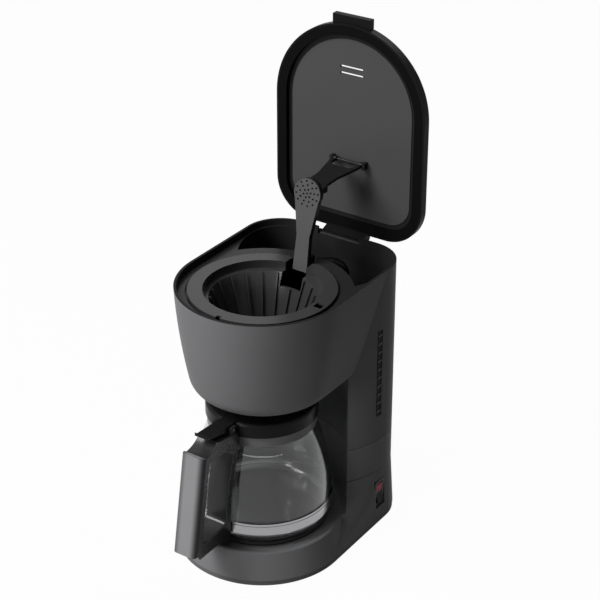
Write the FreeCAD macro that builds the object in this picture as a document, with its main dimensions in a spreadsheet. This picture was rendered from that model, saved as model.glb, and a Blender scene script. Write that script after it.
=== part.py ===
import FreeCAD, Part
import math
import os

import Sketcher
from FreeCAD import Placement, Rotation, Vector

# Drip coffee maker in millimetres, +Z up, front towards -Y, water window and switch on +X.
# Pieces are drawn about the brew axis (x = 0, y = 0) and the counter (z = 0). The last step
# moves every piece along Y, so that the origin lies at the middle of the footprint.

SIZES = {
    # Body
    "body_width": 175.0,
    "rim_height": 301.0,
    "column_center": 98.0,
    "rear_depth": 139.0,
    "wall": 2.5,
    "seam_height": 105.0,
    "bay_inset": 1.5,
    "seam_gap": 0.5,
    # Gaps between pieces
    "running_gap": 0.3,
    "fixed_gap": 0.1,
    "nest_gap": 0.5,
    "pin_gap": 0.08,
    # Head over the carafe
    "head_floor": 186.0,
    "head_low_radius": 75.5,
    "head_corner": 19.0,
    "head_lean": 11.2,
    "head_wall": 2.8,
    "outlet_radius": 13.0,
    # Base
    "tray_bottom": 2.5,
    "base_bottom": 8.0,
    "base_top": 38.0,
    "base_flare": 3.5,
    "rear_flare": 2.5,
    "base_draft": 6.7,
    "base_corner": 2.5,
    "flare_top": 66.0,
    "flare_setback": 2.0,
    "flare_steps": 3,
    "base_wall": 10.0,
    "base_roof": 33.0,
    "recess_rim": 3.3,
    "recess_depth": 2.5,
    # Tray and feet
    "tray_inset": 0.4,
    "tray_floor": 2.5,
    "foot_radius": 8.0,
    "foot_spread": 58.0,
    "foot_front": -52.0,
    "foot_rear": 112.0,
    "foot_seat": 1.2,
    "screw_radius": 1.6,
    "screw_head": 3.2,
    "screw_head_depth": 1.8,
    "screw_depth": 12.0,
    "screw_boss": 4.5,
    "screw_front_x": 71.0,
    "screw_front": 42.0,
    "screw_rear_x": 40.0,
    "screw_rear": 133.0,
    # Deck and tank
    "deck_drop": 7.0,
    "deck_thick": 2.5,
    "tank_bottom": 118.0,
    "tank_wall": 2.0,
    "tank_floor": 2.5,
    "well_radius": 76.5,
    "ledge_radius": 69.0,
    "ledge_drop": 3.3,
    "ledge_thick": 2.2,
    "trough_half": 12.5,
    "trough_depth": 15.0,
    "ear_thick": 4.0,
    # Level window
    "window_y": 84.0,
    "window_low": 134.0,
    "window_high": 236.0,
    "window_width": 8.0,
    "window_depth": 4.6,
    "window_marks": 10,
    "mark_half": 3.4,
    "mark_height": 1.2,
    "mark_rise": 0.4,
    "scale_margin": 5.4,
    "window_set": 1.0,
    # Lid and its hinge
    "hinge_offset": 3.5,
    "hinge_drop": 10.0,
    "hinge_pin": 2.0,
    "hinge_barrel": 5.0,
    "knuckle_width": 50.0,
    "hinge_ear": 6.5,
    "lid_overhang": 1.2,
    "lid_setback": 3.0,
    "lid_corner": 42.0,
    "lid_rise": 11.0,
    "lid_depth": 12.0,
    "lid_edge_round": 4.0,
    "liner_set": 5.0,
    "liner_thick": 2.0,
    "seal_width": 9.0,
    "panel_inset": 17.0,
    "panel_rise": 0.8,
    "tab_half": 22.0,
    "tab_reach": 7.5,
    "tab_thick": 7.0,
    "slot_half": 13.5,
    "slot_height": 2.6,
    "slot_pitch": 7.0,
    "slot_z": 38.5,
    "vent_half": 20.0,
    "vent_low": 10.0,
    "vent_high": 3.0,
    # Lift link and spray arm
    "arm_y": 77.0,
    "arm_drop": 13.0,
    "crank_y": 12.0,
    "crank_z": 84.0,
    "link_pin": 1.5,
    "link_boss": 2.8,
    "link_thick": 3.0,
    "link_waist_share": 0.4,
    "link_fork_share": 0.85,
    "link_crotch_share": 0.76,
    "link_lid_half": 17.5,
    "link_arm_half": 11.5,
    "lug_thick": 3.5,
    "lug_half": 3.4,
    "arm_lean": 9.5,
    "arm_face": 12.0,
    "arm_head": 79.0,
    "arm_head_radius": 15.5,
    "arm_foot_half": 8.5,
    "arm_neck_half": 7.6,
    "arm_neck": 34.0,
    "arm_plate": 1.5,
    "arm_back": 6.0,
    "arm_wall": 1.4,
    "arm_shoulder_share": 0.9,
    "arm_barrel": 3.9,
    "spray_hole": 1.1,
    "spray_circles": 3,
    "spray_pitch": 4.3,
    # Filter basket and drip stop
    "flange_radius": 74.4,
    "flange_rise": 2.4,
    "flange_thick": 2.0,
    "mouth_radius": 59.4,
    "filter_radius": 53.6,
    "filter_drop": 8.9,
    "basket_floor": 213.0,
    "basket_floor_radius": 28.6,
    "basket_wall": 2.0,
    "basket_ribs": 20,
    "rib_thick": 1.3,
    "rib_depth": 2.6,
    "rib_gap": 1.0,
    "finger_hole_x": 66.9,
    "finger_hole_half": 4.5,
    "key_half": 2.5,
    "key_depth": 4.0,
    "nozzle_radius": 9.0,
    "nozzle_bottom": 192.0,
    "notch_start": 43.0,
    "stem_radius": 3.2,
    "stem_tip": 180.0,
    "stem_head": 6.5,
    "stem_head_thick": 2.0,
    "stem_play": 1.0,
    "stem_bevel": 3.0,
    "stem_foot": 6.0,
    "drip_washer": 1.8,
    # Carafe
    "carafe_y": -3.0,
    "glass_bottom": 38.9,
    "glass_radius": 72.2,
    "glass_wall": 2.2,
    "glass_corner": 10.0,
    "shoulder_low": 62.0,
    "neck_radius": 54.5,
    "neck_low": 147.0,
    "neck_top": 158.2,
    "band_low": 52.0,
    "band_width": 13.0,
    "band_thick": 0.9,
    "bead_width": 2.0,
    "groove_width": 1.2,
    "groove_depth": 0.5,
    "collar_thick": 1.8,
    "collar_gap": 0.5,
    "carafe_lid_radius": 58.0,
    "carafe_lid_top": 174.0,
    "carafe_lid_round": 4.0,
    "carafe_lid_thick": 4.5,
    "dish_radius": 16.0,
    "dish_depth": 2.0,
    "handle_width": 25.0,
    "handle_bar": 9.0,
    "handle_gap": 0.8,
    "handle_root": 4.0,
    "handle_edge": 1.2,
    "hole_round": 6.0,
    "hole_rear_low": 68.0,
    "hole_rear_high": 148.0,
    "hole_front_high": 155.0,
    "hole_front_low": 64.0,
    "handle_shoulder": 165.0,
    "thumb_y": 94.0,
    "thumb_z": 170.0,
    "handle_foot_y": 129.0,
    "handle_foot_z": 49.5,
    "grip_top_y": 114.5,
    "grip_top_z": 162.0,
    "grip_low_y": 134.0,
    "grip_low_z": 57.0,
    "grip_bar": 8.0,
    "grip_thick": 6.0,
    "grip_slant": 1.5,
    "grip_round": 4.5,
    "grip_width": 27.0,
    "lever_half": 8.0,
    "lever_root": 6.0,
    "lever_thick": 5.0,
    "lever_rise": 1.0,
    "lever_reach": 105.0,
    "lever_top": 180.5,
    "lever_lip": 3.0,
    "lever_tip_thick": 4.0,
    "lever_under": 174.0,
    "lever_hub": 4.0,
    "plug_gap": 1.5,
    "plug_depth": 4.0,
    "plug_wall": 1.8,
    "handle_reach": 140.0,
    "lid_pin_y": -68.0,
    "lid_pin_z": 170.0,
    "lid_pin": 1.5,
    # Heater
    "plate_radius": 68.0,
    "plate_top": 38.6,
    "plate_thick": 2.0,
    "plate_hole": 63.5,
    "plate_seal_inset": 1.0,
    "element_radius": 47.0,
    "element_width": 15.0,
    "element_height": 17.0,
    "element_sweep": 305.0,
    "bracket_x": 72.0,
    "bracket_width": 14.0,
    "bracket_thick": 1.5,
    "thermostat_radius": 8.5,
    "thermostat_height": 7.0,
    "fuse_radius": 2.2,
    "fuse_length": 24.0,
    "fuse_x": 26.0,
    # Water path
    "hose_x": 27.0,
    "hose_y": 108.0,
    "hose_start": 46.0,
    "hose_bend": 14.0,
    "hose_top": 112.0,
    "hose_wall": 1.5,
    "clamp_width": 5.0,
    "clamp_thick": 0.9,
    "clamp_set": 1.0,
    "stub_radius": 5.0,
    "stub_bore": 3.5,
    "stub_tip": 62.0,
    "spigot_bottom": 98.0,
    "spigot_flange": 9.0,
    "flange_height": 2.0,
    "riser_drop": 8.0,
    "riser_reach": 29.0,
    "riser_turn": 212.0,
    # Cord inlet
    "cord_x": -30.0,
    "cord_z": 26.0,
    "cord_bore": 3.4,
    "gland_radius": 6.0,
    "gland_flange": 9.0,
    # Switch
    "switch_y": 86.0,
    "switch_z": 37.5,
    "switch_width": 13.0,
    "switch_height": 28.0,
    "switch_sink": 1.5,
    "switch_lip": 2.0,
    "switch_wall": 1.0,
    "bezel_thick": 2.6,
    "sleeve_depth": 14.0,
    "rocker_depth": 3.5,
    "rocker_tilt": 5.0,
    "rocker_spread": 57.0,
    "rocker_back": 50.0,
    "rocker_dip": 0.85,
    "trunnion": 1.5,
}


# Lengths closer than this count as equal
TOUCH = 0.01


class Size:
    """A length that knows its value and the sheet expression that keeps it current."""

    def __init__(self, value, text):
        self.value = float(value)
        self.text = text

    @staticmethod
    def of(other):
        return other if isinstance(other, Size) else Size(other, repr(float(other)))

    def join(self, sign, other, value):
        return Size(value, f"({self.text} {sign} {other.text})")

    def __add__(self, other):
        other = Size.of(other)
        return self.join("+", other, self.value + other.value)

    def __sub__(self, other):
        other = Size.of(other)
        return self.join("-", other, self.value - other.value)

    def __mul__(self, other):
        other = Size.of(other)
        return self.join("*", other, self.value * other.value)

    def __truediv__(self, other):
        other = Size.of(other)
        return self.join("/", other, self.value / other.value)

    def __radd__(self, other):
        return Size.of(other) + self

    def __rsub__(self, other):
        return Size.of(other) - self

    def __rmul__(self, other):
        return Size.of(other) * self

    def __neg__(self):
        return Size(-self.value, f"(-{self.text})")

    def root(self):
        return Size(math.sqrt(self.value), f"sqrt({self.text})")

    def sine(self):
        return Size(math.sin(math.radians(self.value)), f"sin({self.text})")

    def slope(self, run):
        """Angle of a line that rises by this much over a run."""
        angle = math.degrees(math.atan2(self.value, run.value))
        return Size(angle, f"atan2({self.text}; {run.text})")

    def cosine(self):
        return Size(math.cos(math.radians(self.value)), f"cos({self.text})")


class Sheet:
    """The driving dimensions, each readable as a Size under its own name."""

    def __init__(self, document, sizes):
        table = document.addObject("Spreadsheet::Sheet", "Sizes")
        for row, (name, value) in enumerate(sizes.items(), start=1):
            table.set(f"A{row}", name)
            table.set(f"B{row}", repr(value))
            table.setAlias(f"B{row}", name)
            setattr(self, name, Size(value, f"Sizes.{name}"))


doc = FreeCAD.newDocument("drip_coffee_maker")
dim = Sheet(doc, SIZES)
doc.recompute()
nodes = {}

# Shared derived sizes
half = dim.body_width / 2
bay_radius = half - dim.bay_inset
base_half = half + dim.base_flare
base_rear = dim.rear_depth + dim.rear_flare
base_top_radius = base_half - dim.base_draft
base_cavity_radius = base_half - dim.base_wall
recess_radius = base_top_radius - dim.recess_rim
flare_end = dim.column_center - dim.flare_setback
deck_top = dim.rim_height - dim.deck_drop
ledge_top = deck_top - dim.ledge_drop
flange_top = deck_top + dim.flange_rise
filter_ledge = flange_top - dim.filter_drop
hinge_y = dim.rear_depth + dim.hinge_offset
hinge_z = dim.rim_height - dim.hinge_drop
arm_z = dim.rim_height - dim.arm_drop
trough_floor = arm_z - dim.trough_depth
ear_front = dim.arm_y - 4 * dim.link_pin
notch_floor = trough_floor + dim.running_gap
riser_top = deck_top - dim.riser_drop
lid_half = half + dim.lid_overhang
lid_rear = dim.rear_depth - dim.lid_setback
switch_face = half - dim.switch_sink
rocker_x = switch_face - dim.rocker_depth
lid_mid = hinge_z + hinge_y
lid_front = hinge_y + dim.lid_rise
lid_back = lid_front + dim.lid_depth
tank_inset = dim.wall + dim.nest_gap
brew_axis_y = (dim.handle_reach - lid_back) / 2
plate_bottom = dim.plate_top - dim.plate_thick
element_bottom = plate_bottom - dim.element_height
stub_z = element_bottom + dim.stub_radius
hose_bore = dim.stub_radius + dim.fixed_gap
hose_outer = hose_bore + dim.hose_wall
pin_bore = dim.link_pin + dim.pin_gap
lid_pin_bore = dim.lid_pin + dim.pin_gap
hinge_bore = dim.hinge_pin + dim.pin_gap
lid_pin_line = (hinge_y + dim.crank_y, hinge_z + dim.crank_z)
arm_pin_line = (dim.arm_y + dim.crank_y, arm_z + dim.crank_z)


# Sketching helpers

def bind(thing, name, size):
    """Tie one property to the sheet."""
    thing.setExpression(name, Size.of(size).text)


def new_body(name):
    return doc.addObject("PartDesign::Body", name)


def new_sketch(body, plane, offset=0.0):
    """A sketch on one of the body's own origin planes, moved along the plane's normal."""
    sketch = body.newObject("Sketcher::SketchObject", body.Name + "_sketch")
    role = plane + "_Plane"
    support = next(item for item in body.Origin.OriginFeatures if item.Role == role)
    sketch.AttachmentSupport = (support, "")
    sketch.MapMode = "FlatFace"
    bind(sketch, "AttachmentOffset.Base.z", offset)
    return sketch


def pin_point(sketch, geometry, end, place):
    """Hold one point of a sketch at a place given in sizes."""
    for kind, axis, size in (("DistanceX", -2, place[0]), ("DistanceY", -1, place[1])):
        hold_coordinate(sketch, geometry, end, kind, axis, size)


def hold_coordinate(sketch, geometry, end, kind, axis, size):
    if not isinstance(size, Size) and size == 0:
        sketch.addConstraint(Sketcher.Constraint("PointOnObject", geometry, end, axis))
        return
    size = Size.of(size)
    rule = Sketcher.Constraint(kind, -1, 1, geometry, end, size.value)
    bind(sketch, f"Constraints[{sketch.addConstraint(rule)}]", size)


def flat(place):
    return Vector(Size.of(place[0]).value, Size.of(place[1]).value, 0)


def draw(sketch, path):
    """A closed outline. A corner is (x, y), or (x, y, centre, turn) where an arc starts there."""
    sides = trace(sketch, path + path[:1])
    last, first = sides[-1], sides[0]
    sketch.addConstraint(Sketcher.Constraint("Coincident", last[0], last[2], first[0], first[1]))


def trace(sketch, path):
    """Lines and arcs through the corners, each corner held at its sizes."""
    sides = []
    for corner, following in zip(path, path[1:]):
        start, finish = flat(corner), flat(following)
        if len(corner) == 2:
            sides.append((sketch.addGeometry(Part.LineSegment(start, finish), False), 1, 2))
            continue
        middle = flat(corner[2])
        counter = corner[3] == "ccw"
        first, last = (start, finish) if counter else (finish, start)
        angles = [math.atan2(point.y - middle.y, point.x - middle.x) for point in (first, last)]
        circle = Part.Circle(middle, Vector(0, 0, 1), (start - middle).Length)
        side = sketch.addGeometry(Part.ArcOfCircle(circle, angles[0], angles[1]), False)
        sides.append((side, 1, 2) if counter else (side, 2, 1))
    for (side, _, end), (following, start, _) in zip(sides, sides[1:]):
        sketch.addConstraint(Sketcher.Constraint("Coincident", side, end, following, start))
    for corner, (side, start, _) in zip(path, sides):
        pin_point(sketch, side, start, corner[:2])
    if flat(path[0]) != flat(path[-1]):
        pin_point(sketch, sides[-1][0], sides[-1][2], path[-1][:2])
    for corner, following, (side, _, _) in zip(path, path[1:], sides):
        if len(corner) > 2:
            chord = flat(following) - flat(corner)
            if abs(chord.x) > abs(chord.y):
                hold_coordinate(sketch, side, 3, "DistanceY", -1, corner[2][1])
            else:
                hold_coordinate(sketch, side, 3, "DistanceX", -2, corner[2][0])
    return sides


def ring(sketch, place, radius):
    """A circle."""
    radius = Size.of(radius)
    circle = Part.Circle(flat(place), Vector(0, 0, 1), radius.value)
    side = sketch.addGeometry(circle, False)
    pin_point(sketch, side, 3, place)
    rule = Sketcher.Constraint("Radius", side, radius.value)
    bind(sketch, f"Constraints[{sketch.addConstraint(rule)}]", radius)


def box_path(left, right, low, high):
    return [(left, low), (right, low), (right, high), (left, high)]


def middle_box(place, wide, tall):
    """A rectangle about a place, with its half-width and half-height."""
    return box_path(place[0] - wide, place[0] + wide, place[1] - tall, place[1] + tall)


def mirrored(path):
    """An outline drawn on +X, closed with its mirror image on -X. It runs counter-clockwise."""
    image = []
    for corner, before in zip(reversed(path), list(reversed(path))[1:] + [None]):
        place = (-Size.of(corner[0]), corner[1])
        if before is not None and len(before) > 2:
            middle = (-Size.of(before[2][0]), before[2][1])
            place += (middle, before[3])
        image.append(place)
    return path + image


# Solid features

def grow(body, kind, sketch, length, back=False, both=False):
    """Pad or Pocket along the sketch's normal."""
    feature = body.newObject("PartDesign::" + kind, body.Name + "_" + kind.lower())
    feature.Profile = sketch
    bind(feature, "Length", length)
    feature.Reversed = back
    if both:
        feature.SideType = "Symmetric"
    return feature


def pad_path(body, plane, offset, path, length, back=False, both=False):
    sketch = new_sketch(body, plane, offset)
    draw(sketch, path)
    return grow(body, "Pad", sketch, length, back, both)


def cut_path(body, plane, offset, path, length, back=False, both=False):
    sketch = new_sketch(body, plane, offset)
    draw(sketch, path)
    return grow(body, "Pocket", sketch, length, back, both)


def pad_frame(body, plane, offset, outer, inner, length, back=False):
    sketch = new_sketch(body, plane, offset)
    draw(sketch, outer)
    draw(sketch, inner)
    return grow(body, "Pad", sketch, length, back)


def pad_ring(body, plane, offset, rings, length, back=False, both=False):
    sketch = new_sketch(body, plane, offset)
    for place, radius in rings:
        ring(sketch, place, radius)
    return grow(body, "Pad", sketch, length, back, both)


def cut_ring(body, plane, offset, rings, length, back=False, both=False):
    sketch = new_sketch(body, plane, offset)
    for place, radius in rings:
        ring(sketch, place, radius)
    return grow(body, "Pocket", sketch, length, back, both)


def turn_path(body, path, offset=0.0, angle=360.0):
    """A profile in the XZ plane turned about the vertical line through its own origin."""
    sketch = new_sketch(body, "XZ", offset)
    draw(sketch, path)
    feature = body.newObject("PartDesign::Revolution", body.Name + "_turned")
    feature.Profile = sketch
    feature.ReferenceAxis = (sketch, ["V_Axis"])
    feature.Angle = angle
    return feature


def pipe(body, plane, offset, path, bore, outer):
    """A tube along an open path that starts straight up or straight along +Y."""
    spine = new_sketch(body, plane, offset)
    trace(spine, path)
    start = new_sketch(body, "XY" if plane == "XZ" else "XZ", path[0][1] if plane == "XZ" else -path[0][0])
    place = (path[0][0], 0) if plane == "XZ" else (offset, path[0][1])
    for radius in (outer, bore):
        ring(start, place, radius)
    feature = body.newObject("PartDesign::AdditivePipe", body.Name + "_pipe")
    feature.Profile = start
    feature.Spine = (spine, [f"Edge{number}" for number in range(1, len(path))])
    return feature


def polar(body, feature, count):
    """Copies of a feature, evenly about the body's vertical axis."""
    pattern = body.newObject("PartDesign::PolarPattern", body.Name + "_polar")
    pattern.Originals = [feature]
    axis = next(item for item in body.Origin.OriginFeatures if item.Role == "Z_Axis")
    pattern.Axis = (axis, [""])
    pattern.Angle = 360.0
    bind(pattern, "Occurrences", count)
    body.Tip = pattern
    return pattern


def round_edges(body, keep, radius):
    """Fillet the edges of the tip that keep() accepts."""
    doc.recompute()
    tip = body.Tip
    names = [f"Edge{i}" for i, edge in enumerate(tip.Shape.Edges, start=1) if keep(edge)]
    feature = body.newObject("PartDesign::Fillet", body.Name + "_fillet")
    feature.Base = (tip, names)
    bind(feature, "Radius", radius)
    return feature


def boolean(kind, name, base, tool):
    joined = doc.addObject("Part::" + kind, name)
    joined.Base = base
    joined.Tool = tool
    return joined


def node(name, thing, place=(0, 0, 0), axis=None, angle=None):
    """Name a finished piece and stand it in the shared frame."""
    thing.Label = name
    if axis is not None:
        thing.Placement = Placement(Vector(0, 0, 0), Rotation(axis, angle.value))
        bind(thing, "Placement.Rotation.Angle", angle)
    for letter, size in zip("xyz", (place[0], place[1] + brew_axis_y, place[2])):
        bind(thing, "Placement.Base." + letter, size)
    nodes[name] = thing


def rod(name, place, radius, span):
    """A pin along X, centred on x = 0, at (y, z)."""
    body = new_body(name)
    pad_ring(body, "YZ", 0.0, [(place, radius)], span, both=True)
    node(name, body)


# Outlines that several pieces share

def column_plan(inset, bay):
    """Plan of the rear column with the round bay taken out of its front, drawn inwards by inset."""
    side = half - inset
    corner_x = half - (dim.rear_depth - dim.column_center)
    edge_y = (bay * bay - side * side + dim.column_center * dim.column_center) / (2 * dim.column_center)
    edge_x = (bay * bay - edge_y * edge_y).root()
    right = [
        (edge_x, edge_y, (0, dim.column_center), "ccw"),
        (side, dim.column_center, (corner_x, dim.column_center), "ccw"),
        (corner_x, dim.rear_depth - inset),
    ]
    path = mirrored(right)
    path[-1] = path[-1][:2] + ((0, 0), "cw")
    return path


def round_front_plan(side, front, rear):
    """Plan with a half-round front about y = front and two rounded rear corners."""
    corner_x = side - (rear - dim.column_center)
    right = [
        (side, front),
        (side, dim.column_center, (corner_x, dim.column_center), "ccw"),
        (corner_x, rear),
    ]
    path = mirrored(right)
    path[-1] = path[-1][:2] + ((0, front), "ccw")
    return path


def head_section(inset):
    """Right half of the head's cross-section: floor, round corner and bulging wall."""
    lean_x, lean_z = dim.head_lean.cosine(), -dim.head_lean.sine()
    middle = (dim.head_low_radius - dim.head_corner * lean_x, dim.head_floor + dim.head_corner)
    low = (dim.head_low_radius, middle[1] + dim.head_corner * lean_z)
    run_x, run_z = half - low[0], dim.rim_height - low[1]
    bulge = (run_x * run_x + run_z * run_z) / (-2 * (run_x * lean_x + run_z * lean_z))
    center = (low[0] - bulge * lean_x, low[1] - bulge * lean_z)
    reach = bulge - inset
    rise = dim.rim_height - center[1]
    top_x = center[0] + (reach * reach - rise * rise).root()
    corner = dim.head_corner - inset
    return [
        (middle[0], dim.head_floor + inset, middle, "ccw"),
        (middle[0] + corner * lean_x, middle[1] + corner * lean_z, center, "ccw"),
        (top_x, dim.rim_height),
    ]


def lid_plan(inset):
    """The lid's outline seen from the front while it stands open."""
    side, corner = lid_half - inset, dim.lid_corner - inset
    low = lid_mid - lid_rear + inset
    right = [
        (side - corner, low, (side - corner, low + corner), "ccw"),
        (side, low + corner),
        (side, lid_mid),
    ]
    path = mirrored(right)
    path[2] = path[2] + ((0, lid_mid), "ccw")
    return path


# Housing

def upper_volume(name, inset, head_inset):
    """Column with its bay, and the bowl-shaped head in front of it."""
    body = new_body(name)
    height = dim.rim_height - dim.seam_height
    pad_path(body, "XY", dim.seam_height, column_plan(inset, bay_radius + inset), height)
    section = head_section(head_inset)
    front = turn_path(body, [(0, dim.head_floor + head_inset)] + section + [(0, dim.rim_height)], angle=180.0)
    front.Reversed = True
    pad_path(body, "XZ", 0.0, mirrored(section), dim.column_center, back=True)
    return body


def hinge_ears(body):
    """Two ears behind the rear wall that carry the lid's hinge pin."""
    place = (hinge_y, hinge_z)
    foot = dim.rear_depth - dim.wall / 2
    web = [
        (foot, hinge_z - 3 * dim.hinge_barrel),
        (hinge_y + dim.hinge_barrel, hinge_z),
        (hinge_y, hinge_z + dim.hinge_barrel),
        (foot, hinge_z + dim.hinge_barrel),
    ]
    inner = dim.knuckle_width / 2 + dim.running_gap
    for offset, back in ((inner, False), (-inner, True)):
        pad_ring(body, "YZ", offset, [(place, dim.hinge_barrel)], dim.hinge_ear, back)
        pad_path(body, "YZ", offset, web, dim.hinge_ear, back)
    cut_ring(body, "YZ", 0.0, [(place, hinge_bore)], 2 * dim.body_width, both=True)


def upper_housing():
    outer = upper_volume("upper_outer", Size.of(0), Size.of(0))
    hinge_ears(outer)
    inner = upper_volume("upper_inner", dim.wall, dim.head_wall)
    pad_ring(inner, "XY", dim.head_floor + 2 * dim.wall, [((0, 0), dim.outlet_radius)],
             4 * dim.wall, back=True)
    shell = boolean("Cut", "upper_shell", outer, inner)
    openings = new_body("upper_openings")
    slot = box_path(dim.window_y - dim.window_width / 2, dim.window_y + dim.window_width / 2,
                    dim.window_low, dim.window_high)
    pad_path(openings, "YZ", half - 4 * dim.wall, slot, 6 * dim.wall)
    notch_low = hinge_z - dim.hinge_barrel - 2 * dim.running_gap
    notch = box_path(-(dim.knuckle_width / 2 + dim.running_gap), dim.knuckle_width / 2 + dim.running_gap,
                     notch_low, dim.rim_height + dim.wall)
    pad_path(openings, "XZ", -(dim.rear_depth - 2 * dim.wall), notch, 3 * dim.wall, back=True)
    node("upper_housing", boolean("Cut", "upper_housing", shell, openings))


def lower_housing():
    outer = new_body("lower_outer")
    steps = SIZES["flare_steps"]
    sections = []
    for step in range(steps + 1):
        share = step / steps
        ease = 1 - (1 - share) ** 2
        height = dim.base_bottom + (dim.flare_top - dim.base_bottom) * share
        side = base_half + (half - base_half) * share
        front = dim.carafe_y + (flare_end - dim.carafe_y) * ease
        rear = base_rear + (dim.rear_depth - base_rear) * share
        sketch = new_sketch(outer, "XY", height)
        draw(sketch, round_front_plan(side, front, rear))
        sections.append(sketch)
    flare = outer.newObject("PartDesign::AdditiveLoft", "lower_flare")
    flare.Profile = sections[0]
    flare.Sections = sections[1:]
    bowl = [
        (0, dim.base_bottom),
        (base_half, dim.base_bottom),
        (base_top_radius, dim.base_top - dim.base_corner,
         (base_top_radius - dim.base_corner, dim.base_top - dim.base_corner), "ccw"),
        (base_top_radius - dim.base_corner, dim.base_top),
        (0, dim.base_top),
    ]
    turn_path(outer, bowl, -dim.carafe_y)
    cut_ring(outer, "XY", dim.base_top, [((0, 0), bay_radius)], dim.seam_height, back=True)
    pad_path(outer, "XY", dim.flare_top, column_plan(Size.of(0), bay_radius),
             dim.seam_height - dim.seam_gap - dim.flare_top)
    cut_ring(outer, "XY", dim.base_top, [((0, dim.carafe_y), recess_radius)], dim.recess_depth)
    cut_ring(outer, "XY", dim.base_top, [((0, dim.carafe_y), dim.plate_hole)], dim.base_top / 2)
    inner = new_body("lower_inner")
    cavity = round_front_plan(base_cavity_radius, dim.carafe_y, dim.rear_depth - dim.wall)
    pad_path(inner, "XY", dim.base_bottom, cavity, dim.base_roof - dim.base_bottom)
    pad_path(inner, "XY", dim.base_roof, column_plan(dim.wall, bay_radius + dim.wall),
             dim.seam_height - dim.base_roof)
    cut_ring(inner, "XY", dim.base_roof, [(place, dim.screw_boss) for place in screw_places()],
             dim.base_roof - dim.base_bottom)
    cut_ring(inner, "XY", dim.base_roof, [(place, dim.screw_boss) for place in bracket_places()],
             dim.base_roof - element_bottom)
    shell = boolean("Cut", "lower_shell", outer, inner)
    openings = new_body("lower_openings")
    middle = (dim.switch_y, dim.switch_z)
    wide, tall = dim.switch_width / 2, dim.switch_height / 2
    edge = dim.switch_lip + dim.running_gap
    pad_path(openings, "YZ", switch_face, middle_box(middle, wide + edge, tall + edge), 4 * dim.wall)
    pad_path(openings, "YZ", switch_face - 4 * dim.wall, middle_box(middle, wide, tall), 5 * dim.wall)
    screw_bore = dim.screw_radius + dim.fixed_gap
    pad_ring(openings, "XY", dim.base_bottom, [(place, screw_bore) for place in screw_places()], dim.screw_depth)
    pad_ring(openings, "XY", element_bottom, [(place, screw_bore) for place in bracket_places()],
             dim.base_roof - element_bottom)
    pad_ring(openings, "XZ", -(dim.rear_depth - 3 * dim.wall),
             [((dim.cord_x, dim.cord_z), dim.gland_radius + dim.fixed_gap)], 6 * dim.wall, back=True)
    node("lower_housing", boolean("Cut", "lower_housing", shell, openings))


def screw_places():
    """Where the tray is screwed up into the base."""
    front = [(-dim.screw_front_x, dim.screw_front), (dim.screw_front_x, dim.screw_front)]
    return front + [(-dim.screw_rear_x, dim.screw_rear), (dim.screw_rear_x, dim.screw_rear)]


def bracket_places():
    """Where the heater's strap is screwed to the roof of the base."""
    return [(-dim.bracket_x, dim.carafe_y), (dim.bracket_x, dim.carafe_y)]


def bottom_tray():
    body = new_body("bottom_tray")
    side = base_half - dim.tray_inset
    rear = base_rear - dim.tray_inset
    pad_path(body, "XY", dim.tray_bottom, round_front_plan(side, dim.carafe_y, rear),
             dim.base_bottom - dim.tray_bottom)
    cut_path(body, "XY", dim.base_bottom,
             round_front_plan(side - dim.wall, dim.carafe_y, rear - dim.wall),
             dim.base_bottom - dim.tray_bottom - dim.tray_floor)
    cut_ring(body, "XY", dim.tray_bottom, [(place, dim.foot_radius + dim.fixed_gap) for place in foot_places()],
             dim.foot_seat, back=True)
    floor = dim.tray_bottom + dim.tray_floor
    pad_ring(body, "XY", floor, [(place, dim.screw_boss) for place in screw_places()], dim.base_bottom - floor)
    cut_ring(body, "XY", dim.base_bottom, [(place, dim.screw_radius + dim.fixed_gap) for place in screw_places()],
             dim.base_bottom)
    cut_ring(body, "XY", dim.tray_bottom, [(place, dim.screw_head + dim.fixed_gap) for place in screw_places()],
             dim.screw_head_depth, back=True)
    node("bottom_tray", body)
    screws = new_body("tray_screws")
    pad_ring(screws, "XY", dim.tray_bottom, [(place, dim.screw_head) for place in screw_places()],
             dim.screw_head_depth - dim.fixed_gap)
    pad_ring(screws, "XY", dim.tray_bottom, [(place, dim.screw_radius) for place in screw_places()],
             dim.base_bottom - dim.tray_bottom + dim.screw_depth - dim.running_gap)
    node("tray_screws", screws)


def foot_places():
    return [(x, y) for y in (dim.foot_front, dim.foot_rear) for x in (-dim.foot_spread, dim.foot_spread)]


def rubber_feet():
    body = new_body("rubber_feet")
    pad_ring(body, "XY", 0.0, [(place, dim.foot_radius) for place in foot_places()],
             dim.tray_bottom + dim.foot_seat)
    node("rubber_feet", body)


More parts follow.
